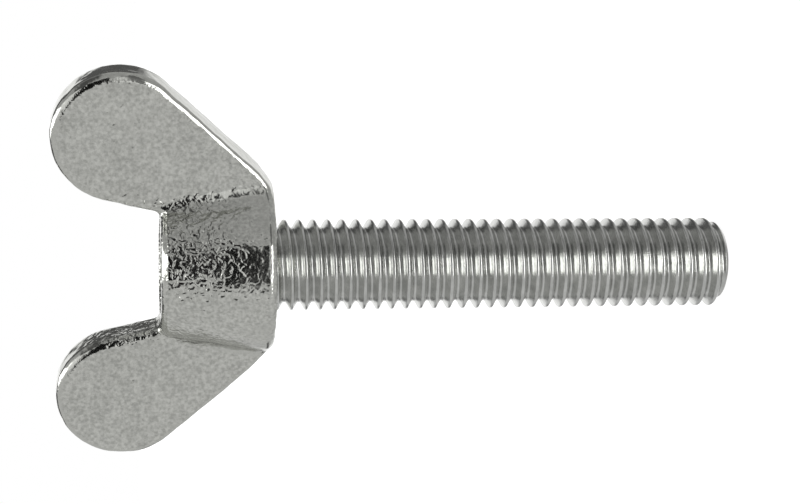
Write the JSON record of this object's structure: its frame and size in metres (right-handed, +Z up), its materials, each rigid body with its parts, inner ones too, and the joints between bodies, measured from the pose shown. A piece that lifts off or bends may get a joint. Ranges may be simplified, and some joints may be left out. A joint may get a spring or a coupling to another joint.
{
  "type": "wing screw",
  "caption": "Wing screw with two rounded flat wings on a tapered round boss and a threaded steel stud, turned by hand to clamp without tools.",
  "frame": {"origin": "centre of the flat bearing face under the head, on the stud's axis", "axes": "+Z up the stud's axis towards the wings, so the stud hangs down -Z; +X towards one wing's end; the wings' broad faces look along +Y and -Y"},
  "size_m": [0.0352, 0.015, 0.0585],
  "materials": {
    "cast_head": "zinc-plated malleable casting with a fine sandy skin",
    "rolled_stud": "bright zinc-plated rolled steel"
  },
  "bodies": {
    "root": {"wing_head": "cast_head", "threaded_stud": "rolled_stud"}
  },
  "joints": []
}
